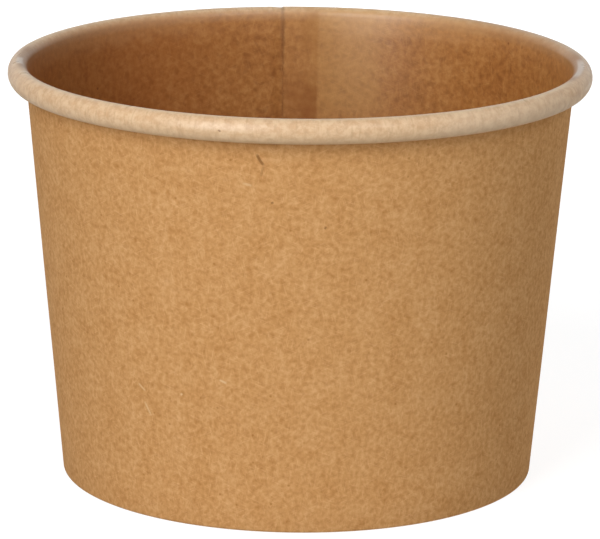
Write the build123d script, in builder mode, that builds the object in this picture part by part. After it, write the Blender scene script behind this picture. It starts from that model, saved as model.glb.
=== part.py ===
from build123d import *
from math import asin, atan2, cos, degrees, hypot, radians, sin, tan
import os

# Paper soup cup of kraft board. The sidewall is one fan-shaped blank, wrapped into a cone and sealed
# along a lap seam. Its top edge is rolled outwards into the rim and its bottom edge is hemmed inwards
# round the skirt of a separate bottom disc, so the disc sits above the floor. The cup stands on its hem.
# Sizes are in millimetres and degrees. Z is the cup's axis, the floor is Z = 0, and the seam faces +Y.

# Overall sizes
rim_diameter = 98.0  # outside of the rolled rim
base_diameter = 79.7  # outside of the wall, carried straight down to the floor
cup_height = 70.6  # floor to the top of the rim

# Board
board = 0.40  # sidewall board
disc_board = 0.36  # bottom disc board
seal_film = 0.02  # melted coating between the skirt and the wall on each side of it

# Rolled rim: a tight crown and underside joined by a flatter side, with its free edge tucked to the wall
curl_width = 3.3  # inside of the wall to the outside of the rim
curl_height = 4.1
curl_blend = 40.0  # turn from the top of the rim to the end of its crown
tuck_gap = 0.12  # free edge to the doubled wall at the seam

# Base
disc_recess = 6.5  # floor to the underside of the disc
disc_corner = 0.8  # inside of the bend between the disc and its skirt
hem_gap = 1.5  # free edge of the hem to the underside of the disc
fold_radius = 0.10  # inside of the hem's fold
skirt_gap = 0.25  # lower edge of the skirt to the inside of the fold

# Lap seam, measured round the inside of the rim
seam_angle = 93.9  # cut edge of the inner ply, from +X towards +Y
lap_width = 6.3  # where the two plies lie on each other
ramp_width = 2.0  # where the outer ply climbs over the edge of the inner one
rim_step = 0.3  # share of the lap's step that is left on the rim, after rolling presses it

# Rim section worked out from its width and height
rim_radius = rim_diameter / 2
base_radius = base_diameter / 2
blend = radians(curl_blend)
side_share = (1 - sin(blend)) / cos(blend)
crown_radius = (curl_width - side_share * curl_height / 2) / (1 + sin(blend) - side_share * (1 - cos(blend)))
side_radius = (curl_height / 2 - crown_radius * (1 - cos(blend))) / cos(blend)
crown_centre = Vector(rim_radius - curl_width + crown_radius, cup_height - crown_radius)

# The wall runs from the base to a tangent of the crown, so its lean follows from both
reach = crown_centre.X - base_radius
rise = crown_centre.Y
lean = degrees(asin((board - crown_radius) / hypot(reach, rise)) + atan2(reach, rise))
along_wall = Vector(sin(radians(lean)), cos(radians(lean)))
out_of_wall = Vector(cos(radians(lean)), -sin(radians(lean)))

# The free edge turns on under the rim and stops just short of the wall where the seam doubles it
room_under_rim = crown_radius + (curl_height - crown_radius) * sin(radians(lean)) - 2 * board - tuck_gap
tuck_turn = lean + degrees(asin(room_under_rim / crown_radius - sin(radians(lean))))

# The seam's widths as angles
wall_radius_at_rim = rim_radius - curl_width
lap_angle = degrees(lap_width / wall_radius_at_rim)
ramp_angle = degrees(ramp_width / wall_radius_at_rim)

hem_height = disc_recess - hem_gap
fold_gap = disc_board + 2 * seal_film
fold_height = board + fold_radius


def wall_point(depth, height):
    """Point of the line that runs along the wall at a depth, counted outwards from its inside face."""
    return Vector(base_radius + height * tan(radians(lean)) - (board - depth) / cos(radians(lean)), height)


def sheet_line(wall_depth, hem_depth, curl_depth):
    """Draws one face of the sheet from the hem's free edge to the rim's, and returns its two ends."""
    fold_bend = fold_radius + hem_depth
    inner_fold = wall_point(fold_radius - fold_gap, fold_height)
    outer_fold = wall_point(wall_depth - hem_depth - fold_radius, fold_height)
    hem_top = wall_point(-fold_gap, hem_height) - out_of_wall * hem_depth

    hem = Line(hem_top, inner_fold - out_of_wall * fold_bend)
    first_bend = JernArc(hem @ 1, -along_wall, fold_bend, 90 + lean)
    foot = Line(first_bend @ 1, outer_fold - Vector(0, fold_bend))
    second_bend = JernArc(foot @ 1, Vector(1, 0), fold_bend, 90 - lean)
    wall = Line(second_bend @ 1, crown_centre - out_of_wall * (crown_radius - curl_depth))
    crown = JernArc(wall @ 1, along_wall, crown_radius - curl_depth, -(90 - lean + curl_blend))
    side = JernArc(crown @ 1, crown % 1, side_radius - curl_depth, -(180 - 2 * curl_blend))
    underside = JernArc(side @ 1, side % 1, crown_radius - curl_depth, -(curl_blend + tuck_turn))
    return hem @ 0, underside @ 1


def sheet_section(angle, inside, outside):
    """Section of the sheet between two depths in the wall, on the plane through the axis at an angle."""
    with BuildSketch(Plane.XZ.rotated((0, 0, angle))) as section:
        with BuildLine():
            hem_start, rim_end = sheet_line(inside, 0, rim_step * inside)
            hem_back, rim_back = sheet_line(outside, board, board + rim_step * (outside - board))
            Line(hem_start, hem_back)
            Line(rim_end, rim_back)
        make_face()
    return section.sketch


# Sidewall: one ply nearly all the way round, a ramp where its end climbs, and two plies in the lap
with BuildPart() as sidewall:
    ramp_foot = sheet_section(seam_angle + ramp_angle, 0, board)
    ramp_middle = sheet_section(seam_angle + ramp_angle / 2, board / 2, 3 * board / 2)
    ramp_head = sheet_section(seam_angle, board, 2 * board)
    lap_end = sheet_section(seam_angle - lap_angle, 0, 2 * board)
    revolve(ramp_foot, axis=Axis.Z, revolution_arc=360 - ramp_angle - lap_angle)
    loft([ramp_foot, ramp_middle, ramp_head])
    revolve(lap_end, axis=Axis.Z, revolution_arc=lap_angle)
sidewall.part.label = "sidewall"

# Bottom disc: a flat round with its edge drawn down into a skirt that lies along the wall
with BuildPart() as bottom_disc:
    disc_bend = disc_corner + disc_board
    disc_top = disc_recess + disc_board
    bend_centre = wall_point(-seal_film - disc_bend, disc_top - disc_bend)
    skirt_foot = wall_point(-seal_film, board + skirt_gap)
    with BuildSketch(Plane.XZ):
        with BuildLine():
            upper = Line((0, disc_top), (bend_centre.X, disc_top))
            upper_bend = JernArc(upper @ 1, Vector(1, 0), disc_bend, -(90 + lean))
            Line(upper_bend @ 1, skirt_foot)
            skirt_edge = Line(skirt_foot, skirt_foot - out_of_wall * disc_board)
            skirt_inside = Line(skirt_edge @ 1, upper_bend @ 1 - out_of_wall * disc_board)
            lower_bend = JernArc(skirt_inside @ 1, along_wall, disc_corner, 90 + lean)
            lower = Line(lower_bend @ 1, (0, disc_recess))
            Line(lower @ 1, upper @ 0)
        make_face()
    revolve(axis=Axis.Z)
bottom_disc.part.label = "bottom_disc"

os.makedirs("parts", exist_ok=True)
export_step(sidewall.part, "parts/sidewall.step")
export_step(bottom_disc.part, "parts/bottom_disc.step")
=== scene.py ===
# Kraft paper soup cup: a lap-sealed sidewall with a rolled rim and a hemmed base, round a bottom disc.
import math

import bpy
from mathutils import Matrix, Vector


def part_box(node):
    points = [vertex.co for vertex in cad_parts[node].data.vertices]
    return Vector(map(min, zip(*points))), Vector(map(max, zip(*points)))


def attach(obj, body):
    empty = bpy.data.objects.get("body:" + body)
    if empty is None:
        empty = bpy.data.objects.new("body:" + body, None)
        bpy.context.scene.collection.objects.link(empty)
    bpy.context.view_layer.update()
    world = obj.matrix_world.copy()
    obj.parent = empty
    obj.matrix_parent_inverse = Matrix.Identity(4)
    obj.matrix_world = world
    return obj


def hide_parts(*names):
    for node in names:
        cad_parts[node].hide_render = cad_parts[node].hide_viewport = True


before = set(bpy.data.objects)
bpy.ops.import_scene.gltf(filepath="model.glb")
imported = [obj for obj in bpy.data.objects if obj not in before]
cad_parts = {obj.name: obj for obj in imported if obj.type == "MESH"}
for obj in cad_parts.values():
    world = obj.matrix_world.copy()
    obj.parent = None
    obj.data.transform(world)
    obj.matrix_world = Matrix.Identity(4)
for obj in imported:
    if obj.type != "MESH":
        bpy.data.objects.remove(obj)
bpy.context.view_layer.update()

# Sidewall
# The real piece is one fan-shaped blank of kraft board, bare outside and filmed inside, wrapped into a
# cone and heat-sealed along a lap. Its top edge is rolled outwards into the rim. Its bottom edge is folded
# in and up as a hem, and a knurled wheel presses the hem onto the bottom disc's skirt.
wall_low, wall_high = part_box("sidewall")
rim_radius = -wall_low.x
cup_height = wall_high.z
base_radius = 0.03985  # outside of the wall, carried straight down to the floor
board = 0.00040
film = 0.00002  # melted film in the lap and on each side of the skirt
curl_width = 0.0033  # inside of the wall to the outside of the rim
curl_height = 0.0041
curl_blend = math.radians(40)  # turn from the top of the rim to the end of its crown
tuck_gap = 0.00012  # free edge of the rim to the doubled wall
disc_board = 0.00036
disc_recess = 0.0065  # floor to the underside of the disc
hem_height = 0.0050
fold_radius = 0.00010  # inside of the hem's fold
seam_angle = math.radians(93.9)  # cut edge of the inner ply, from +X towards +Y
lap_width = 0.0063
ramp_width = 0.0020  # where the outer ply climbs over the edge of the inner one
seam_channel = 0.0005  # open channel along the cut edge, where the ramp is at its full height
rim_step = 0.3  # share of the lap's step that is left on the rim, after rolling presses it
notch = math.radians(0.4)  # the hem's two ends stop short of each other at the seam
column_turn = math.radians(0.53)  # about one column of the blank
unroll_radius = 0.043  # radius at which a turn is measured along the flat blank


def towards(angle):
    """Direction of an angle in the section's plane, counted from outwards to upwards."""
    return Vector((math.cos(angle), math.sin(angle)))


def bend(centre, radius, start, end, steps):
    """Points of an arc in the section's plane."""
    return [centre + radius * towards(start + (end - start) * k / steps) for k in range(steps + 1)]


def straight(start, end, steps):
    """Points of a straight stretch in the section's plane, without its last one."""
    return [start.lerp(end, k / steps) for k in range(steps)]


side_share = (1 - math.sin(curl_blend)) / math.cos(curl_blend)
crown_radius = (curl_width - side_share * curl_height / 2) / (
    1 + math.sin(curl_blend) - side_share * (1 - math.cos(curl_blend))
)
side_radius = (curl_height / 2 - crown_radius * (1 - math.cos(curl_blend))) / math.cos(curl_blend)
crown_centre = Vector((rim_radius - curl_width + crown_radius, cup_height - crown_radius))
crown_end = math.pi / 2 - curl_blend
side_centre = crown_centre + (crown_radius - side_radius) * towards(crown_end)
under_centre = side_centre + (side_radius - crown_radius) * towards(-crown_end)
from_base = crown_centre - Vector((base_radius, 0))
lean = math.asin((board - crown_radius) / from_base.length) + math.atan2(from_base.x, from_base.y)
out_of_wall = towards(-lean)
room_under_rim = crown_radius + (curl_height - crown_radius) * math.sin(lean) - 2 * board - tuck_gap
tuck_turn = lean + math.asin(room_under_rim / crown_radius - math.sin(lean))
fold_gap = disc_board + 2 * film
fold_height = board + fold_radius
wall_radius_at_rim = rim_radius - curl_width
lap_angle = lap_width / wall_radius_at_rim
ramp_angle = ramp_width / wall_radius_at_rim
channel_angle = seam_channel / wall_radius_at_rim
hem_rows, fold_rows, foot_rows, wall_rows, crown_rows, side_rows, under_rows = 7, 4, 1, 14, 11, 9, 8
wall_start = hem_rows + fold_rows + foot_rows + fold_rows
curl_start = wall_start + wall_rows


def wall_place(depth, height):
    """Place in the section's plane along the wall at a depth, counted outwards from its inside face."""
    return Vector((base_radius + height * math.tan(lean) - (board - depth) / math.cos(lean), height))


def sheet_face(wall_depth, hem_depth, curl_depth):
    """One face of the sheet in the section's plane, from the hem's free edge to the rim's."""
    fold_bend = fold_radius + hem_depth
    hem_top = wall_place(-fold_gap, hem_height) - out_of_wall * hem_depth
    inner_fold = wall_place(fold_radius - fold_gap, fold_height)
    outer_fold = wall_place(wall_depth - hem_depth - fold_radius, fold_height)
    first = bend(inner_fold, fold_bend, math.pi - lean, 1.5 * math.pi, fold_rows)
    second = bend(outer_fold, fold_bend, 1.5 * math.pi, 2 * math.pi - lean, fold_rows)
    crown = bend(crown_centre, crown_radius - curl_depth, math.pi - lean, crown_end, crown_rows)
    side = bend(side_centre, side_radius - curl_depth, crown_end, -crown_end, side_rows)
    under = bend(under_centre, crown_radius - curl_depth, -crown_end, -math.pi / 2 - tuck_turn, under_rows)
    hem = straight(hem_top, first[0], hem_rows)
    wall = straight(second[-1], crown[0], wall_rows)
    return hem + first + second[:-1] + wall + crown[:-1] + side[:-1] + under


def running_lengths(places):
    """Distance along a row of places to each one of them."""
    lengths = [0.0]
    for before, after in zip(places, places[1:]):
        lengths.append(lengths[-1] + (after - before).length)
    return lengths


def cut_blank(name, turns, inside, outside, weights, outside_weights, flat_place, is_cut_away, closed):
    """Flat slab of board with a column for each turn and a row for each place of its section.

    Its points keep their turn, their place in the section and the rows' weights, for the tree that shapes it.
    """
    rows = len(inside)
    lengths = running_lengths(inside)
    kept = {
        (column, row)
        for column in range(len(turns) - 1)
        for row in range(rows - 1)
        if not is_cut_away(column, row)
    }
    faces, sides = [], []
    for column, row in sorted(kept):
        corners = [(column, row), (column, row + 1), (column + 1, row + 1), (column + 1, row)]
        faces.append([(*place, 1) for place in corners])
        faces.append([(*place, 0) for place in reversed(corners)])
        sides += [0, 1]
        neighbours = [(column - 1, row), (column, row + 1), (column + 1, row), (column, row - 1)]
        for k, neighbour in enumerate(neighbours):
            start, end = corners[k], corners[(k + 1) % 4]
            past_the_ends = neighbour[0] in (-1, len(turns) - 1)
            at_the_pole = neighbour[1] == -1 and inside[0].x == 0
            if neighbour in kept or closed and (past_the_ends or at_the_pole):
                continue
            faces.append([(*end, 1), (*start, 1), (*start, 0), (*end, 0)])
            sides.append(2)
    points = sorted({point for face in faces for point in face})
    number = {point: k for k, point in enumerate(points)}
    mesh = bpy.data.meshes.new(name)
    mesh.from_pydata(
        [(*flat_place(turns[c], lengths[r]), s * board) for c, r, s in points],
        [],
        [[number[point] for point in face] for face in faces],
    )
    mesh.shade_smooth()
    turn_of = mesh.attributes.new("turn", "FLOAT", "POINT")
    turn_of.data.foreach_set("value", [turns[c] for c, r, s in points])
    place_of = mesh.attributes.new("section", "FLOAT_VECTOR", "POINT")
    places = [(outside if s else inside)[r] for c, r, s in points]
    place_of.data.foreach_set("vector", [v for place in places for v in (place.x, 0, place.y)])
    for weight, values in [*weights.items(), *outside_weights.items()]:
        held_by = [values[r] * (s if weight in outside_weights else 1) for c, r, s in points]
        if isinstance(values[0], Vector):
            held = mesh.attributes.new(weight, "FLOAT_VECTOR", "POINT")
            held.data.foreach_set("vector", [v for value in held_by for v in (value.x, 0, value.y)])
        else:
            held = mesh.attributes.new(weight, "FLOAT", "POINT")
            held.data.foreach_set("value", held_by)
    side_of = mesh.attributes.new("side", "FLOAT", "FACE")
    side_of.data.foreach_set("value", sides)
    board_map = mesh.uv_layers.new(name="board")
    for loop in mesh.loops:
        column, row, side = points[loop.vertex_index]
        board_map.data[loop.index].uv = flat_place(turns[column], lengths[row])
    piece = bpy.data.objects.new(name, mesh)
    bpy.context.collection.objects.link(piece)
    return piece


def wire(tree, kind, inputs=(), **settings):
    """Adds a node with its settings, and links or sets the inputs that are named or numbered."""
    made = tree.nodes.new(kind)
    for setting, value in settings.items():
        setattr(made, setting, value)
    for key, value in dict(inputs).items():
        if isinstance(value, bpy.types.NodeSocket):
            tree.links.new(value, made.inputs[key])
        else:
            made.inputs[key].default_value = value
    return made


def new_tree(name, kind, inputs, outputs):
    """Node tree with named sockets, and its input and output nodes."""
    tree = bpy.data.node_groups.new(name, kind)
    for socket, socket_type in inputs.items():
        tree.interface.new_socket(socket, in_out="INPUT", socket_type=socket_type)
    for socket, socket_type in outputs.items():
        tree.interface.new_socket(socket, in_out="OUTPUT", socket_type=socket_type)
    return tree, tree.nodes.new("NodeGroupInput"), tree.nodes.new("NodeGroupOutput")


def math_node(tree, operation, *values):
    """Output of a Math node."""
    return wire(tree, "ShaderNodeMath", enumerate(values), operation=operation).outputs[0]


def vector_node(tree, operation, *values):
    """Output of a Vector Math node."""
    return wire(tree, "ShaderNodeVectorMath", enumerate(values), operation=operation).outputs[0]


def scaled(tree, vector, factor):
    """A vector times a number."""
    inputs = {0: vector, "Scale": factor}
    return wire(tree, "ShaderNodeVectorMath", inputs, operation="SCALE").outputs[0]


def smooth_range(tree, value, low, high, to_low=0.0, to_high=1.0):
    """A value eased from one range to another and held at its ends."""
    inputs = {"Value": value, "From Min": low, "From Max": high, "To Min": to_low, "To Max": to_high}
    return wire(tree, "ShaderNodeMapRange", inputs, interpolation_type="SMOOTHSTEP").outputs[0]


def point_value(tree, name, data_type="FLOAT"):
    """A value that the blank's points keep."""
    inputs = {"Name": name}
    return wire(tree, "GeometryNodeInputNamedAttribute", inputs, data_type=data_type).outputs["Attribute"]


def outward_direction(tree, around):
    """Level direction of an angle round the cup."""
    both_ways = {0: math_node(tree, "COSINE", around), 1: math_node(tree, "SINE", around)}
    return wire(tree, "ShaderNodeCombineXYZ", both_ways).outputs[0]


def centred_noise(tree, place, scale, detail):
    """Value of a noise pattern in space, from about -0.5 to 0.5."""
    inputs = {"Vector": place, "Scale": scale, "Detail": detail}
    return math_node(tree, "SUBTRACT", wire(tree, "ShaderNodeTexNoise", inputs).outputs[0], 0.5)


def finish_board(tree, geometry, given, output):
    """Ends a tree that shapes a blank: real points, and a material for each side and for the cut edges."""
    geometry = wire(tree, "GeometryNodeRealizeInstances", {"Geometry": geometry}).outputs["Geometry"]
    side = point_value(tree, "side")
    for number, material in enumerate(("Outside", "Inside", "Cut Edge")):
        chosen = wire(
            tree,
            "FunctionNodeCompare",
            {"A": side, "B": float(number), "Epsilon": 0.1},
            data_type="FLOAT",
            operation="EQUAL",
        )
        inputs = {"Geometry": geometry, "Selection": chosen.outputs[0], "Material": given.outputs[material]}
        geometry = wire(tree, "GeometryNodeSetMaterial", inputs).outputs["Geometry"]
    tree.links.new(geometry, output.inputs["Geometry"])


def shape_board(piece, tree, values):
    """Runs a tree on a blank, and leaves the shaped board as a plain mesh."""
    piece.data.materials.append(values["Outside"])
    modifier = piece.modifiers.new(tree.name, "NODES")
    modifier.node_group = tree
    for socket in tree.interface.items_tree:
        if socket.name in values:
            modifier[socket.identifier] = values[socket.name]
    shaped = piece.evaluated_get(bpy.context.evaluated_depsgraph_get())
    mesh = bpy.data.meshes.new_from_object(shaped)
    flat = piece.data
    piece.modifiers.clear()
    piece.data = mesh
    bpy.data.meshes.remove(flat)
    mesh.name = piece.name
    mesh.set_sharp_from_angle(angle=math.radians(40))


wrap, given, wrapped = new_tree(
    "wrap_the_blank",
    "GeometryNodeTree",
    {
        "Geometry": "NodeSocketGeometry",
        "Seam Angle": "NodeSocketFloat",
        "Ramp Start": "NodeSocketFloat",
        "Ramp End": "NodeSocketFloat",
        "Lap End": "NodeSocketFloat",
        "Knurl Count": "NodeSocketFloat",
        "Knurl Depth": "NodeSocketFloat",
        "Wander": "NodeSocketFloat",
        "Rim Ripple": "NodeSocketFloat",
        "Outside": "NodeSocketMaterial",
        "Inside": "NodeSocketMaterial",
        "Cut Edge": "NodeSocketMaterial",
    },
    {"Geometry": "NodeSocketGeometry"},
)
held_round, wavers_freely = 0.008, 0.030  # heights between which the disc's hold on the wall fades
turn = point_value(wrap, "turn")
climb = smooth_range(wrap, turn, given.outputs["Ramp Start"], given.outputs["Ramp End"])
lift = scaled(wrap, point_value(wrap, "lap_lift", "FLOAT_VECTOR"), climb)
in_section = vector_node(wrap, "ADD", point_value(wrap, "section", "FLOAT_VECTOR"), lift)
past_lap = math_node(wrap, "ADD", given.outputs["Lap End"], column_turn)
press = smooth_range(wrap, turn, past_lap, given.outputs["Lap End"])
pressed = scaled(wrap, point_value(wrap, "give", "FLOAT_VECTOR"), press)
in_section = vector_node(wrap, "ADD", in_section, pressed)
knurl_wave = math_node(wrap, "SINE", math_node(wrap, "MULTIPLY", turn, given.outputs["Knurl Count"]))
knurl_teeth = smooth_range(wrap, knurl_wave, -0.5, 0.7)
knurl_press = math_node(wrap, "MULTIPLY", knurl_teeth, given.outputs["Knurl Depth"])
knurl_dent = math_node(wrap, "MULTIPLY", knurl_press, point_value(wrap, "knurl"))
around = math_node(wrap, "SUBTRACT", given.outputs["Seam Angle"], turn)
outwards = outward_direction(wrap, around)
height = wire(wrap, "ShaderNodeSeparateXYZ", {0: in_section}).outputs[2]
up_the_wall = wire(wrap, "ShaderNodeCombineXYZ", {2: math_node(wrap, "MULTIPLY", height, 20.0)}).outputs[0]
wander_noise = centred_noise(wrap, vector_node(wrap, "ADD", outwards, up_the_wall), 1.6, 1.0)
wander = math_node(wrap, "MULTIPLY", wander_noise, given.outputs["Wander"])
above_disc = smooth_range(wrap, height, held_round, wavers_freely)
ripple = math_node(wrap, "MULTIPLY", centred_noise(wrap, outwards, 7.0, 2.0), given.outputs["Rim Ripple"])
push = math_node(wrap, "MULTIPLY_ADD", wander, above_disc, knurl_dent)
push = math_node(wrap, "MULTIPLY_ADD", ripple, point_value(wrap, "curl"), push)
pushed = vector_node(wrap, "ADD", in_section, wire(wrap, "ShaderNodeCombineXYZ", {0: push}).outputs[0])
placed = wire(wrap, "ShaderNodeVectorRotate", {"Vector": pushed, "Angle": around}, rotation_type="Z_AXIS")
inputs = {"Geometry": given.outputs["Geometry"], "Position": placed.outputs[0]}
finish_board(wrap, wire(wrap, "GeometryNodeSetPosition", inputs).outputs["Geometry"], given, wrapped)


def srgb(red, green, blue):
    """Colour from 8-bit values as they show on a screen."""
    shares = [value / 255 for value in (red, green, blue)]
    return (*[s / 12.92 if s <= 0.04045 else ((s + 0.055) / 1.055) ** 2.4 for s in shares], 1.0)


def mixed(tree, factor, first, second):
    """Colour mixed from two colours."""
    inputs = {0: factor, 6: first, 7: second}
    return wire(tree, "ShaderNodeMix", inputs, data_type="RGBA").outputs[2]


def noise(tree, place, scale, detail, roughness=0.5):
    """Value of a flat noise pattern, with its scale in patches to the metre."""
    inputs = {"Vector": place, "Scale": scale, "Detail": detail, "Roughness": roughness}
    return wire(tree, "ShaderNodeTexNoise", inputs, noise_dimensions="2D").outputs[0]


# Grain of the board: mottled pulp, longer pale and dark fibres that lie every way, and sparse bark flecks
grain, given, grained = new_tree(
    "kraft_grain",
    "ShaderNodeTree",
    {
        "Place": "NodeSocketVector",
        "Body": "NodeSocketColor",
        "Dark": "NodeSocketColor",
        "Pale": "NodeSocketColor",
        "Contrast": "NodeSocketFloat",
        "Blots": "NodeSocketFloat",
        "Fibres": "NodeSocketFloat",
        "Flecks": "NodeSocketFloat",
    },
    {"Color": "NodeSocketColor", "Height": "NodeSocketFloat"},
)
place = given.outputs["Place"]
mottle = noise(grain, place, 1150, 2.5, 0.55)
clouds = noise(grain, place, 210, 2.0)
tone = math_node(grain, "MULTIPLY_ADD", clouds, 0.45, mottle)
tone = math_node(grain, "MULTIPLY", math_node(grain, "SUBTRACT", tone, 0.725), given.outputs["Contrast"])
color = mixed(grain, math_node(grain, "MAXIMUM", tone, 0.0), given.outputs["Body"], given.outputs["Pale"])
deep = math_node(grain, "MAXIMUM", math_node(grain, "MULTIPLY", tone, -1.0), 0.0)
color = mixed(grain, deep, color, given.outputs["Dark"])
blot_place = vector_node(grain, "ADD", place, (0.31, 0.17, 0))
blots = smooth_range(grain, noise(grain, blot_place, 820, 1.0), 0.58, 0.78)
blot = math_node(grain, "MULTIPLY", blots, given.outputs["Blots"])
color = mixed(grain, blot, color, given.outputs["Dark"])
relief = mottle
for direction, shade, share in (
    (25, "Pale", 1.0),
    (-40, "Dark", 0.6),
    (80, "Pale", 1.0),
    (-75, "Pale", 1.0),
    (55, "Dark", 0.6),
    (-20, "Pale", 1.0),
):
    inputs = {"Vector": place, "Angle": math.radians(direction)}
    turned = wire(grain, "ShaderNodeVectorRotate", inputs, rotation_type="Z_AXIS").outputs[0]
    stretched = vector_node(grain, "MULTIPLY", turned, (340.0, 4200.0, 1.0))
    streak = smooth_range(grain, noise(grain, stretched, 1.0, 1.0), 0.62, 0.82, 0.0, share)
    fibre = math_node(grain, "MULTIPLY", streak, given.outputs["Fibres"])
    color = mixed(grain, fibre, color, given.outputs[shade])
    relief = math_node(grain, "MULTIPLY_ADD", streak, 0.15, relief)
cells = wire(grain, "ShaderNodeTexVoronoi", {"Vector": place, "Scale": 330.0}, voronoi_dimensions="2D")
cell_draws = wire(grain, "ShaderNodeSeparateColor", {0: cells.outputs["Color"]}).outputs
speck = smooth_range(grain, cells.outputs["Distance"], 0.10, 0.02)
chosen = math_node(grain, "GREATER_THAN", cell_draws[0], 0.955)
fleck = math_node(grain, "MULTIPLY", math_node(grain, "MULTIPLY", speck, chosen), given.outputs["Flecks"])
color = mixed(grain, fleck, color, given.outputs["Dark"])
grain.links.new(color, grained.inputs["Color"])
grain.links.new(relief, grained.inputs["Height"])

# One long fibre caught in the board: a stroke with a bow, at a place and with a direction
stroke, given, stroked = new_tree(
    "stray_fibre",
    "ShaderNodeTree",
    {
        "Place": "NodeSocketVector",
        "Centre": "NodeSocketVector",
        "Direction": "NodeSocketFloat",
        "Half Length": "NodeSocketFloat",
        "Width": "NodeSocketFloat",
        "Bow": "NodeSocketFloat",
    },
    {"Mask": "NodeSocketFloat"},
)
offset = vector_node(stroke, "SUBTRACT", given.outputs["Place"], given.outputs["Centre"])
back = math_node(stroke, "MULTIPLY", given.outputs["Direction"], -1.0)
turned = wire(stroke, "ShaderNodeVectorRotate", {"Vector": offset, "Angle": back}, rotation_type="Z_AXIS")
along, across, _ = wire(stroke, "ShaderNodeSeparateXYZ", {0: turned.outputs[0]}).outputs
share = math_node(stroke, "DIVIDE", along, given.outputs["Half Length"])
bowed = math_node(stroke, "MULTIPLY", math_node(stroke, "MULTIPLY", share, share), given.outputs["Bow"])
away = math_node(stroke, "ABSOLUTE", math_node(stroke, "ADD", across, bowed))
thick = math_node(stroke, "DIVIDE", away, given.outputs["Width"])
mask = math_node(
    stroke,
    "MULTIPLY",
    smooth_range(stroke, thick, 0.9, 0.3),
    smooth_range(stroke, math_node(stroke, "ABSOLUTE", share), 1.0, 0.5),
)
stroke.links.new(mask, stroked.inputs["Mask"])


def new_material(name):
    """Material with a Principled shader, and the tree and shader to wire up."""
    material = bpy.data.materials.new(name)
    material.use_nodes = True
    return material, material.node_tree, material.node_tree.nodes["Principled BSDF"]


def grain_node(tree, place, values):
    """The board's grain, placed in a material with its own values."""
    placed = wire(tree, "ShaderNodeGroup", node_tree=grain)
    tree.links.new(place, placed.inputs["Place"])
    for socket, value in values.items():
        placed.inputs[socket].default_value = value
    return placed.outputs


def bumped(tree, shader, height, distance):
    """Fine relief on a shader's normal."""
    inputs = {"Height": height, "Distance": distance, "Strength": 1.0}
    tree.links.new(wire(tree, "ShaderNodeBump", inputs).outputs[0], shader.inputs["Normal"])


board_lengths = running_lengths(sheet_face(0, 0, 0))
rim_start = board_lengths[curl_start]


def on_blank(angle, height):
    """Place on the flat blank of a point of the wall, from its angle in degrees and its height."""
    turn = (seam_angle - math.radians(angle)) % (2 * math.pi)
    wall_foot = sheet_face(0, 0, 0)[wall_start]
    length = board_lengths[wall_start] + (height - wall_foot.y) / math.cos(lean)
    return Vector((turn * unroll_radius, length, 0))


def marked(tree, place, color, marks):
    """Colour with strokes on it, each given by its two ends on the wall, width, bow, shade and share."""
    for first_end, last_end, width, bow, shade, share in marks:
        start, end = on_blank(*first_end), on_blank(*last_end)
        fibre = wire(tree, "ShaderNodeGroup", node_tree=stroke)
        tree.links.new(place, fibre.inputs["Place"])
        fibre.inputs["Centre"].default_value = (start + end) / 2
        fibre.inputs["Direction"].default_value = math.atan2(end.y - start.y, end.x - start.x)
        fibre.inputs["Half Length"].default_value = (end - start).length / 2 + width / 2
        fibre.inputs["Width"].default_value = width
        fibre.inputs["Bow"].default_value = bow
        color = mixed(tree, math_node(tree, "MULTIPLY", fibre.outputs["Mask"], share), color, shade)
    return color


bare_grain = {
    "Body": srgb(210, 156, 97),
    "Dark": srgb(168, 105, 35),
    "Pale": srgb(238, 190, 136),
    "Contrast": 1.3,
    "Blots": 0.24,
    "Fibres": 0.27,
    "Flecks": 0.6,
}
pulp_relief = 0.00003


def finish_bare(tree, shader, color, relief):
    """Gives a material the matt surface of bare board."""
    tree.links.new(color, shader.inputs["Base Color"])
    shader.inputs["Roughness"].default_value = 0.88
    shader.inputs["Specular IOR Level"].default_value = 0.3
    bumped(tree, shader, relief, pulp_relief)


kraft, tree, shader = new_material("bare_kraft")
blank_place = wire(tree, "ShaderNodeUVMap", uv_map="board").outputs[0]
color, relief = grain_node(tree, blank_place, bare_grain)
pale_fibre = srgb(232, 196, 148)
dark_fibre = srgb(128, 78, 34)
color = marked(
    tree,
    blank_place,
    color,
    (
        ((-98.60, 0.06439), (-97.15, 0.06254), 0.00034, 0.00012, dark_fibre, 0.7),
        ((-97.15, 0.06254), (-97.73, 0.06078), 0.00030, 0.00010, dark_fibre, 0.3),
        ((-101.45, 0.05950), (-99.51, 0.05917), 0.00030, 0.0, pale_fibre, 0.5),
        ((-128.07, 0.02329), (-126.17, 0.02216), 0.00026, 0.0, pale_fibre, 0.6),
        ((-126.63, 0.02038), (-124.86, 0.01801), 0.00026, 0.0, pale_fibre, 0.6),
        ((-107.28, 0.02596), (-105.69, 0.02547), 0.00026, 0.0, pale_fibre, 0.8),
        ((-116.70, 0.02260), (-116.40, 0.02280), 0.00026, 0.0, pale_fibre, 0.8),
        ((-95.55, 0.05640), (-95.25, 0.05650), 0.00026, 0.0, dark_fibre, 0.6),
        ((-84.60, 0.05220), (-84.45, 0.05250), 0.00026, 0.0, dark_fibre, 0.6),
    ),
)
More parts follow.
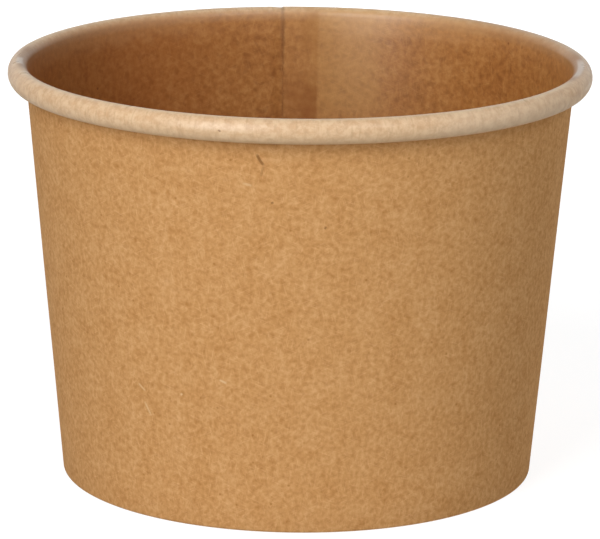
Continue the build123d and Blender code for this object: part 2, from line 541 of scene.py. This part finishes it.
# Outside, the lap ends in a raw edge that is pale and frayed, with a painted shadow along the ply under it,
# at the foot of the step
turn_round = wire(tree, "ShaderNodeSeparateXYZ", {0: blank_place}).outputs[0]
lap_edge = lap_angle * unroll_radius
lap_finish = lap_edge + 2 * math.pi * unroll_radius
frayed = math_node(tree, "MULTIPLY_ADD", noise(tree, blank_place, 1400, 2.0), 0.0004, turn_round)
step_shadow = math_node(
    tree,
    "MULTIPLY",
    smooth_range(tree, frayed, lap_edge - 0.0004, lap_edge),
    smooth_range(tree, frayed, lap_edge + 0.0009, lap_edge + 0.0002, 0.0, 0.55),
)
color = mixed(tree, step_shadow, color, dark_fibre)
raw_edge = smooth_range(tree, frayed, lap_finish - 0.0003, lap_finish, 0.0, 0.4)
color = mixed(tree, raw_edge, color, pale_fibre)
finish_bare(tree, shader, color, relief)

film_grain = {
    "Body": srgb(176, 115, 56),
    "Dark": srgb(128, 68, 21),
    "Pale": srgb(207, 152, 89),
    "Contrast": 1.65,
    "Blots": 0.4,
    "Fibres": 0.2,
    "Flecks": 0.5,
}
filmed, tree, shader = new_material("filmed_kraft")
blank_place = wire(tree, "ShaderNodeUVMap", uv_map="board").outputs[0]
color, relief = grain_node(tree, scaled(tree, blank_place, 0.75), film_grain)
# Painted shade: the film is redder on one side of the seam, the shaded back-left, for the reddish light
# bounced onto it inside the cup
bounce_red = srgb(186, 100, 40)
color = marked(tree, blank_place, color, [((150.0, 0.0650), (150.0, 0.0350), 0.0450, 0.0, bounce_red, 0.3)])
turn_round, up_the_board, _ = wire(tree, "ShaderNodeSeparateXYZ", {0: blank_place}).outputs
# The film over the lap is a little paler. Melted film and glue darken both sides of the cut edge, most of
# all near the rim, where the seam was pressed hardest.
on_the_lap = smooth_range(tree, turn_round, lap_edge + 0.0004, lap_edge - 0.0004)
color = mixed(tree, math_node(tree, "MULTIPLY", on_the_lap, 0.15), color, srgb(210, 155, 92))
ragged = math_node(tree, "MULTIPLY_ADD", noise(tree, blank_place, 900, 2.0), 0.0005, -0.00025)
to_seam = math_node(tree, "ADD", math_node(tree, "SUBTRACT", 2 * math.pi * unroll_radius, turn_round), ragged)
past_seam = math_node(tree, "ADD", turn_round, ragged)
melted = srgb(104, 56, 20)
before_edge = smooth_range(tree, to_seam, 0.0007, 0.0001)
behind_edge = smooth_range(tree, past_seam, 0.0005, 0.0)
at_the_seam = math_node(tree, "MAXIMUM", before_edge, behind_edge)
pressed_hard = smooth_range(tree, up_the_board, rim_start - 0.0095, rim_start - 0.0035, 0.15, 0.46)
color = mixed(tree, math_node(tree, "MULTIPLY", at_the_seam, pressed_hard), color, melted)
# Rolling stretches the film, which turns it paler below the rim, and in spots on it, and creases it across
shoulder = smooth_range(tree, up_the_board, rim_start - 0.0050, rim_start, 0.0, 0.12)
color = mixed(tree, shoulder, color, srgb(236, 176, 112))
worn_pale = srgb(236, 203, 164)
rim_foot = smooth_range(tree, up_the_board, rim_start - 0.0012, rim_start + 0.0002, 0.0, 0.22)
color = mixed(tree, rim_foot, color, worn_pale)
curl = wire(tree, "ShaderNodeAttribute", attribute_name="curl").outputs["Fac"]
rolled = smooth_range(tree, curl, 0.05, 0.5)
wear = smooth_range(tree, noise(tree, blank_place, 680, 3.0, 0.7), 0.3, 0.7, 0.49, 0.96)
creased = noise(tree, vector_node(tree, "MULTIPLY", blank_place, (2300.0, 320.0, 1.0)), 1.0, 1.0)
crease = math_node(tree, "MULTIPLY", smooth_range(tree, creased, 0.55, 0.8, 0.0, 0.27), rolled)
color = mixed(tree, math_node(tree, "MULTIPLY", rolled, wear), color, worn_pale)
color = mixed(tree, crease, color, srgb(190, 146, 100))
rim_seam = math_node(tree, "MULTIPLY", math_node(tree, "MULTIPLY", at_the_seam, rolled), 0.35)
color = mixed(tree, rim_seam, color, melted)
# A painted highlight runs along the crest of the rim, for the film's reflection of the bright surroundings
rim_crest = rim_start + crown_radius * (math.pi / 2 - lean)
from_crest = math_node(tree, "ABSOLUTE", math_node(tree, "SUBTRACT", up_the_board, rim_crest))
color = mixed(tree, smooth_range(tree, from_crest, 0.0010, 0.0003, 0.0, 0.35), color, srgb(250, 222, 182))
# Under the rim, where the sheet turns in to its tucked edge, the film is painted paler, standing in for light
# on the rim's underside
tucked = wire(tree, "ShaderNodeAttribute", attribute_name="tuck").outputs["Fac"]
color = mixed(tree, math_node(tree, "MULTIPLY", tucked, 0.7), color, srgb(254, 220, 174))
# Specks and a stray fibre in the film. Then painted shade on the rim's inner crown at both ends, a paler
# painted light on its outer side at the front right, and painted glints on its crest at both ends
smudge = srgb(124, 64, 20)
shaded_crown = srgb(172, 118, 60)
lit_rim_side = srgb(242, 224, 200)
crest_glint = srgb(255, 246, 234)
color = marked(
    tree,
    blank_place,
    color,
    (
        ((142.1, 0.0594), (141.8, 0.0595), 0.00030, 0.0, smudge, 0.7),
        ((37.6, 0.0681), (37.4, 0.0682), 0.00030, 0.0, smudge, 0.7),
        ((100.63, 0.06523), (98.15, 0.06163), 0.00030, 0.0, smudge, 0.3),
        ((-105.1, 0.0743), (-104.8, 0.0745), 0.00022, 0.0, smudge, 0.6),
        ((66.0, 0.0701), (4.0, 0.0701), 0.00260, 0.0, shaded_crown, 0.45),
        ((14.0, 0.0702), (-24.0, 0.0702), 0.00260, 0.0, shaded_crown, 0.95),
        ((-166.0, 0.0704), (166.0, 0.0704), 0.00220, 0.0, shaded_crown, 0.8),
        ((-24.0, 0.0742), (-66.0, 0.0742), 0.00340, 0.0, lit_rim_side, 0.2),
        ((-173.0, 0.0712), (-180.0, 0.0712), 0.00090, 0.0, crest_glint, 0.5),
        ((4.0, 0.0712), (-17.0, 0.0712), 0.00090, 0.0, crest_glint, 0.5),
    ),
)
# A painted sheen beside the lap, and a paler painted sheen under the rim on both sides of the seam, stand in
# for the film's gloss.
# Glue that soaked through has stained the lap itself.
lap_sheen = srgb(208, 158, 86)
under_rim_sheen = srgb(236, 188, 132)
soaked = srgb(140, 74, 4)
inputs = {"Vector": blank_place, "Scale": 380.0, "Detail": 1.5}
wavering = wire(tree, "ShaderNodeTexNoise", inputs, noise_dimensions="2D").outputs["Color"]
waver = scaled(tree, vector_node(tree, "SUBTRACT", wavering, (0.5, 0.5, 0.5)), 0.0030)
uneven_place = vector_node(tree, "ADD", blank_place, waver)
color = marked(
    tree,
    uneven_place,
    color,
    (
        ((88.0, 0.0692), (42.0, 0.0692), 0.0042, 0.0, under_rim_sheen, 0.15),
        ((170.0, 0.0692), (108.0, 0.0692), 0.0042, 0.0, under_rim_sheen, 0.14),
        ((72.0, 0.0720), (70.0, 0.0500), 0.0220, 0.0, lap_sheen, 0.07),
        ((80.0, 0.0700), (79.0, 0.0530), 0.0100, 0.0, lap_sheen, 0.32),
    ),
)
stained = marked(
    tree,
    uneven_place,
    color,
    (
        ((86.9, 0.0574), (88.3, 0.0490), 0.0026, 0.0, soaked, 0.4),
        ((89.0, 0.0600), (89.0, 0.0330), 0.0066, 0.0, soaked, 0.35),
        ((87.4, 0.0700), (87.2, 0.0620), 0.0030, 0.0, soaked, 0.25),
    ),
)
color = mixed(tree, on_the_lap, color, stained)
tree.links.new(color, shader.inputs["Base Color"])
gloss = noise(tree, blank_place, 190, 2.0)
rough = math_node(tree, "MULTIPLY_ADD", rolled, -0.14, math_node(tree, "MULTIPLY_ADD", gloss, 0.12, 0.38))
rough = math_node(tree, "MULTIPLY_ADD", on_the_lap, 0.2, rough)
rough = math_node(tree, "MULTIPLY_ADD", tucked, 0.35, rough)
tree.links.new(rough, shader.inputs["Roughness"])
coat = math_node(tree, "MULTIPLY_ADD", on_the_lap, -0.3, 0.45)
coat = math_node(tree, "MULTIPLY", coat, math_node(tree, "SUBTRACT", 1.0, rolled))
tree.links.new(coat, shader.inputs["Coat Weight"])
shader.inputs["Coat Roughness"].default_value = 0.36
shader.inputs["Specular IOR Level"].default_value = 0.4
bumped(tree, shader, relief, pulp_relief)

cut, tree, shader = new_material("cut_board")
solid_place = wire(tree, "ShaderNodeTexCoord").outputs["Object"]
plies = wire(tree, "ShaderNodeTexNoise", {"Vector": solid_place, "Scale": 5000.0, "Detail": 2.0}).outputs[0]
color = mixed(tree, plies, srgb(150, 104, 62), srgb(222, 184, 136))
# The edge inside the seam is soaked with melted film
blank_place = wire(tree, "ShaderNodeUVMap", uv_map="board").outputs[0]
turn_round = wire(tree, "ShaderNodeSeparateXYZ", {0: blank_place}).outputs[0]
color = mixed(tree, smooth_range(tree, turn_round, 0.0006, 0.0002), color, srgb(120, 74, 36))
tree.links.new(color, shader.inputs["Base Color"])
shader.inputs["Roughness"].default_value = 0.95
shader.inputs["Specular IOR Level"].default_value = 0.2
bumped(tree, shader, plies, 0.00005)

inside = sheet_face(0, 0, 0)
outside = sheet_face(board, board, board)
rim_depth = rim_step * board
lifted = [(1 + film / board) * (up - low) for up, low in zip(sheet_face(board, 0, rim_depth), inside)]
thinned = [thin - full for thin, full in zip(sheet_face(board, board, rim_depth), outside)]
rows = len(inside)
ramp_start = 2 * math.pi - ramp_angle
plain_columns, ramp_columns, lap_columns = 680, 16, 14
turns = [ramp_start * k / plain_columns for k in range(plain_columns)]
turns += [ramp_start + ramp_angle * k / ramp_columns for k in range(ramp_columns)]
turns += [2 * math.pi + lap_angle * k / lap_columns for k in range(lap_columns + 1)]
foot_end = hem_rows + fold_rows + foot_rows
on_curl = [min(max((row - curl_start) / crown_rows, 0.0), 1.0) for row in range(rows)]
under_start = curl_start + crown_rows + side_rows
on_tuck = [min(max((row - under_start) / side_rows + 0.6, 0.0), 1.0) for row in range(rows)]
on_knurl = [1.0 if 1 <= row <= hem_rows - 2 else 0.0 for row in range(rows)]
sidewall = cut_blank(
    "cup_sidewall",
    turns,
    inside,
    outside,
    {"lap_lift": lifted, "curl": on_curl, "tuck": on_tuck},
    {"knurl": on_knurl, "give": thinned},
    lambda turn, length: (turn * unroll_radius, length),
    lambda column, row: row < foot_end and turns[column + 1] > 2 * math.pi - notch,
    closed=False,
)
shape_board(
    sidewall,
    wrap,
    {
        "Seam Angle": seam_angle,
        "Ramp Start": ramp_start,
        "Ramp End": 2 * math.pi - channel_angle,
        "Lap End": lap_angle,
        "Knurl Count": 120.0,
        "Knurl Depth": 0.00012,
        "Wander": 0.00025,
        "Rim Ripple": 0.00006,
        "Outside": kraft,
        "Inside": filmed,
        "Cut Edge": cut,
    },
)
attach(sidewall, "root")
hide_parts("sidewall")

# Bottom disc
# The real piece is a round of thinner board, filmed on top, drawn down at its edge into a skirt that is
# sealed between the wall and the hem. Drawing it down gathers the corner into small pleats.
disc_corner = 0.0008  # inside of the bend between the disc and its skirt
skirt_gap = 0.00025  # lower edge of the skirt to the inside of the hem's fold
pleat_reach = 0.0030  # length of a pleat to each side of the corner
disc_bend = disc_corner + disc_board
disc_top = disc_recess + disc_board
bend_centre = wall_place(-film - disc_bend, disc_top - disc_bend)
skirt_foot = wall_place(-film, board + skirt_gap)
flat_rows, edge_rows, bend_rows, skirt_rows = 5, 6, 8, 5
disc_columns = 360


def disc_face(depth):
    """One face of the disc in the section's plane, from its centre to the foot of its skirt."""
    corner = bend(bend_centre, disc_bend - depth, math.pi / 2, -lean, bend_rows)
    edge = corner[0] - Vector((pleat_reach, 0))
    foot = skirt_foot - out_of_wall * depth
    flat = straight(Vector((0, corner[0].y)), edge, flat_rows) + straight(edge, corner[0], edge_rows)
    return flat + corner[:-1] + straight(corner[-1], foot, skirt_rows) + [foot]


draw_down, given, drawn = new_tree(
    "draw_down_the_disc",
    "GeometryNodeTree",
    {
        "Geometry": "NodeSocketGeometry",
        "Pleat Count": "NodeSocketFloat",
        "Pleat Depth": "NodeSocketFloat",
        "Sag": "NodeSocketFloat",
        "Outside": "NodeSocketMaterial",
        "Inside": "NodeSocketMaterial",
        "Cut Edge": "NodeSocketMaterial",
    },
    {"Geometry": "NodeSocketGeometry"},
)
around = math_node(draw_down, "MULTIPLY", point_value(draw_down, "turn"), -1.0)
spread = math_node(draw_down, "DIVIDE", given.outputs["Pleat Count"], 2 * math.pi)
pleats = noise(draw_down, scaled(draw_down, outward_direction(draw_down, around), spread), 1.0, 0.0)
pleat_folds = smooth_range(draw_down, pleats, 0.4, 0.7)
pleat_depth = math_node(draw_down, "MULTIPLY", pleat_folds, given.outputs["Pleat Depth"])
gathered = scaled(draw_down, point_value(draw_down, "pleat", "FLOAT_VECTOR"), pleat_depth)
sagged = scaled(draw_down, point_value(draw_down, "sag", "FLOAT_VECTOR"), given.outputs["Sag"])
in_section = vector_node(draw_down, "ADD", point_value(draw_down, "section", "FLOAT_VECTOR"), gathered)
in_section = vector_node(draw_down, "ADD", in_section, sagged)
inputs = {"Vector": in_section, "Angle": around}
placed = wire(draw_down, "ShaderNodeVectorRotate", inputs, rotation_type="Z_AXIS")
inputs = {"Geometry": given.outputs["Geometry"], "Position": placed.outputs[0]}
shaped = wire(draw_down, "GeometryNodeSetPosition", inputs).outputs["Geometry"]
joined = wire(draw_down, "GeometryNodeMergeByDistance", {"Geometry": shaped, "Distance": 0.000002})
finish_board(draw_down, joined.outputs["Geometry"], given, drawn)

disc_film, tree, shader = new_material("filmed_disc")
blank_place = wire(tree, "ShaderNodeUVMap", uv_map="board").outputs[0]
color, relief = grain_node(tree, blank_place, film_grain)
tree.links.new(color, shader.inputs["Base Color"])
shader.inputs["Roughness"].default_value = 0.42
shader.inputs["Specular IOR Level"].default_value = 0.22
bumped(tree, shader, relief, pulp_relief)

disc_board_face, tree, shader = new_material("bare_disc")
blank_place = wire(tree, "ShaderNodeUVMap", uv_map="board").outputs[0]
color, relief = grain_node(tree, blank_place, bare_grain)
finish_bare(tree, shader, color, relief)

disc_inside = disc_face(0)
disc_lengths = running_lengths(disc_inside)
corner_length = (disc_lengths[flat_rows + edge_rows] + disc_lengths[flat_rows + edge_rows + bend_rows]) / 2
bend_directions = [math.pi / 2 + (-lean - math.pi / 2) * k / bend_rows for k in range(bend_rows + 1)]
face_directions = (flat_rows + edge_rows) * [math.pi / 2] + bend_directions + skirt_rows * [-lean]
pleat_shares = [max(0.0, 1 - abs(length - corner_length) / pleat_reach) for length in disc_lengths]
pleat_pushes = [-share * towards(angle) for share, angle in zip(pleat_shares, face_directions)]
sag_shares = [max(0.0, 1 - (place.x / bend_centre.x) ** 2) for place in disc_inside]
disc = cut_blank(
    "cup_bottom_disc",
    [2 * math.pi * k / disc_columns for k in range(disc_columns + 1)],
    disc_inside,
    disc_face(disc_board),
    {"pleat": pleat_pushes, "sag": [Vector((0, -share)) for share in sag_shares]},
    {},
    lambda turn, length: (length * math.cos(turn), -length * math.sin(turn)),
    lambda column, row: False,
    closed=True,
)
shape_board(
    disc,
    draw_down,
    {
        "Pleat Count": 130.0,
        "Pleat Depth": 0.00016,
        "Sag": 0.00020,
        "Outside": disc_board_face,
        "Inside": disc_film,
        "Cut Edge": cut,
    },
)
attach(disc, "root")
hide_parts("bottom_disc")

# Floor and backdrop
# A plain white sheet that shows white behind the cup and keeps its soft shadow. It is clear from below,
# and open under the cup, so that the hem and the recess under the disc get light.
floor_reach = 3.0
floor_opening = base_radius
floor_sides = 64
floor_grey = 0.34  # dim, so that little light bounces up onto the wall
room_light = 0.14  # strength of the white room's own light
dim_gloss = 0.35  # share of the white surroundings that gloss on the cup shows
floor_turns = [2 * math.pi * k / floor_sides for k in range(floor_sides)]
floor_rings = [[radius * towards(turn) for turn in floor_turns] for radius in (floor_opening, floor_reach)]
floor_steps = [(k, (k + 1) % floor_sides) for k in range(floor_sides)]
floor_mesh = bpy.data.meshes.new("floor")
floor_mesh.from_pydata(
    [(place.x, place.y, 0) for ring in floor_rings for place in ring],
    [],
    [(k, floor_sides + k, floor_sides + after, after) for k, after in floor_steps],
)
floor = bpy.data.objects.new("floor", floor_mesh)
bpy.context.collection.objects.link(floor)
sheet, tree, shader = new_material("white_sheet")
shader.inputs["Base Color"].default_value = (floor_grey, floor_grey, floor_grey, 1)
shader.inputs["Roughness"].default_value = 1.0
shader.inputs["Specular IOR Level"].default_value = 0.0


def shown_rays(tree, gloss_share):
    """How far a ray shows the white surroundings: fully to the camera, and by a share in gloss."""
    rays = wire(tree, "ShaderNodeLightPath").outputs
    straight_on = math_node(tree, "MAXIMUM", rays["Is Camera Ray"], rays["Is Transmission Ray"])
    in_gloss = math_node(tree, "MULTIPLY", rays["Is Glossy Ray"], gloss_share)
    return math_node(tree, "MAXIMUM", straight_on, in_gloss)


glow_strength = math_node(tree, "MULTIPLY", shown_rays(tree, dim_gloss), 1 - room_light)
glow = wire(tree, "ShaderNodeEmission", {"Color": (1, 1, 1, 1), "Strength": glow_strength})
both = wire(tree, "ShaderNodeAddShader", {0: shader.outputs[0], 1: glow.outputs[0]})
from_below = wire(tree, "ShaderNodeNewGeometry").outputs["Backfacing"]
clear = wire(tree, "ShaderNodeBsdfTransparent").outputs[0]
seen = wire(tree, "ShaderNodeMixShader", {0: from_below, 1: both.outputs[0], 2: clear})
tree.links.new(seen.outputs[0], tree.nodes["Material Output"].inputs["Surface"])
floor.data.materials.append(sheet)

# Light
# A large soft key from the upper left, a weak fill from the right, a weak lamp overhead, an even white
# room that mirrors brightest behind the cup, low cards to its right and behind it, and a small lamp under
# the floor that reaches only into the base.
lamp_distance = 1.3
backdrop_gloss = 0.7  # share of the backdrop that gloss on the cup shows
scene = bpy.context.scene
room = bpy.data.worlds.new("room")
scene.world = room
room.use_nodes = True
tree = room.node_tree
tree.nodes["Background"].inputs["Color"].default_value = (1, 1, 1, 1)
looked_at = wire(tree, "ShaderNodeTexCoord").outputs["Generated"]
to_the_back = wire(tree, "ShaderNodeSeparateXYZ", {0: looked_at}).outputs[1]
backdrop = smooth_range(tree, to_the_back, 0.5, 0.9, dim_gloss, backdrop_gloss)
room_strength = math_node(tree, "MULTIPLY_ADD", shown_rays(tree, backdrop), 1 - room_light, room_light)
tree.links.new(room_strength, tree.nodes["Background"].inputs["Strength"])


def softbox(name, azimuth, elevation, distance, width, height, watts):
    """Area lamp that looks at the cup from an azimuth, counted from the front to the right."""
    lamp = bpy.data.lights.new(name, "AREA")
    lamp.shape = "RECTANGLE"
    lamp.size = width
    lamp.size_y = height
    lamp.energy = watts
    held = bpy.data.objects.new(name, lamp)
    bpy.context.collection.objects.link(held)
    a, e = math.radians(azimuth), math.radians(elevation)
    back = Vector((math.sin(a) * math.cos(e), -math.cos(a) * math.cos(e), math.sin(e)))
    held.location = back * distance + Vector((0, 0, cup_height / 2))
    held.rotation_euler = (-back).to_track_quat("-Z", "Y").to_euler()
    return held


softbox("key", -30.5, 25, lamp_distance, 0.6, 1.4, 15.2)
softbox("fill", 34, 40, lamp_distance, 0.3, 0.5, 2.3)
softbox("top", 0, 86, lamp_distance, 0.6, 0.6, 0.7)
for azimuth, watts in ((74, 0.46), (162, 0.8), (-162, 0.8)):
    card = softbox("card", azimuth, 0, 0.5, 0.4, cup_height, watts)
    card.visible_glossy = False
softbox("under", -40, -55, 0.6, 0.2, 0.2, 1.6)

# Camera
# The photograph's viewpoint: a long lens a little above the rim.
eye_back, eye_height = 0.7274, 0.2179  # from the cup's axis and from the floor
look_down, look_right, roll = 0.2473, 0.0004, 0.0099  # in radians
camera = bpy.data.objects.new("camera", bpy.data.cameras.new("camera"))
bpy.context.collection.objects.link(camera)
camera.data.sensor_width = 36
camera.data.lens = 265.3
camera.location = (0, -eye_back, eye_height)
camera.rotation_euler = (math.pi / 2 - look_down, 0, -look_right)
camera.rotation_euler.rotate_axis("Z", roll)
scene.camera = camera
scene.view_settings.view_transform = "Standard"
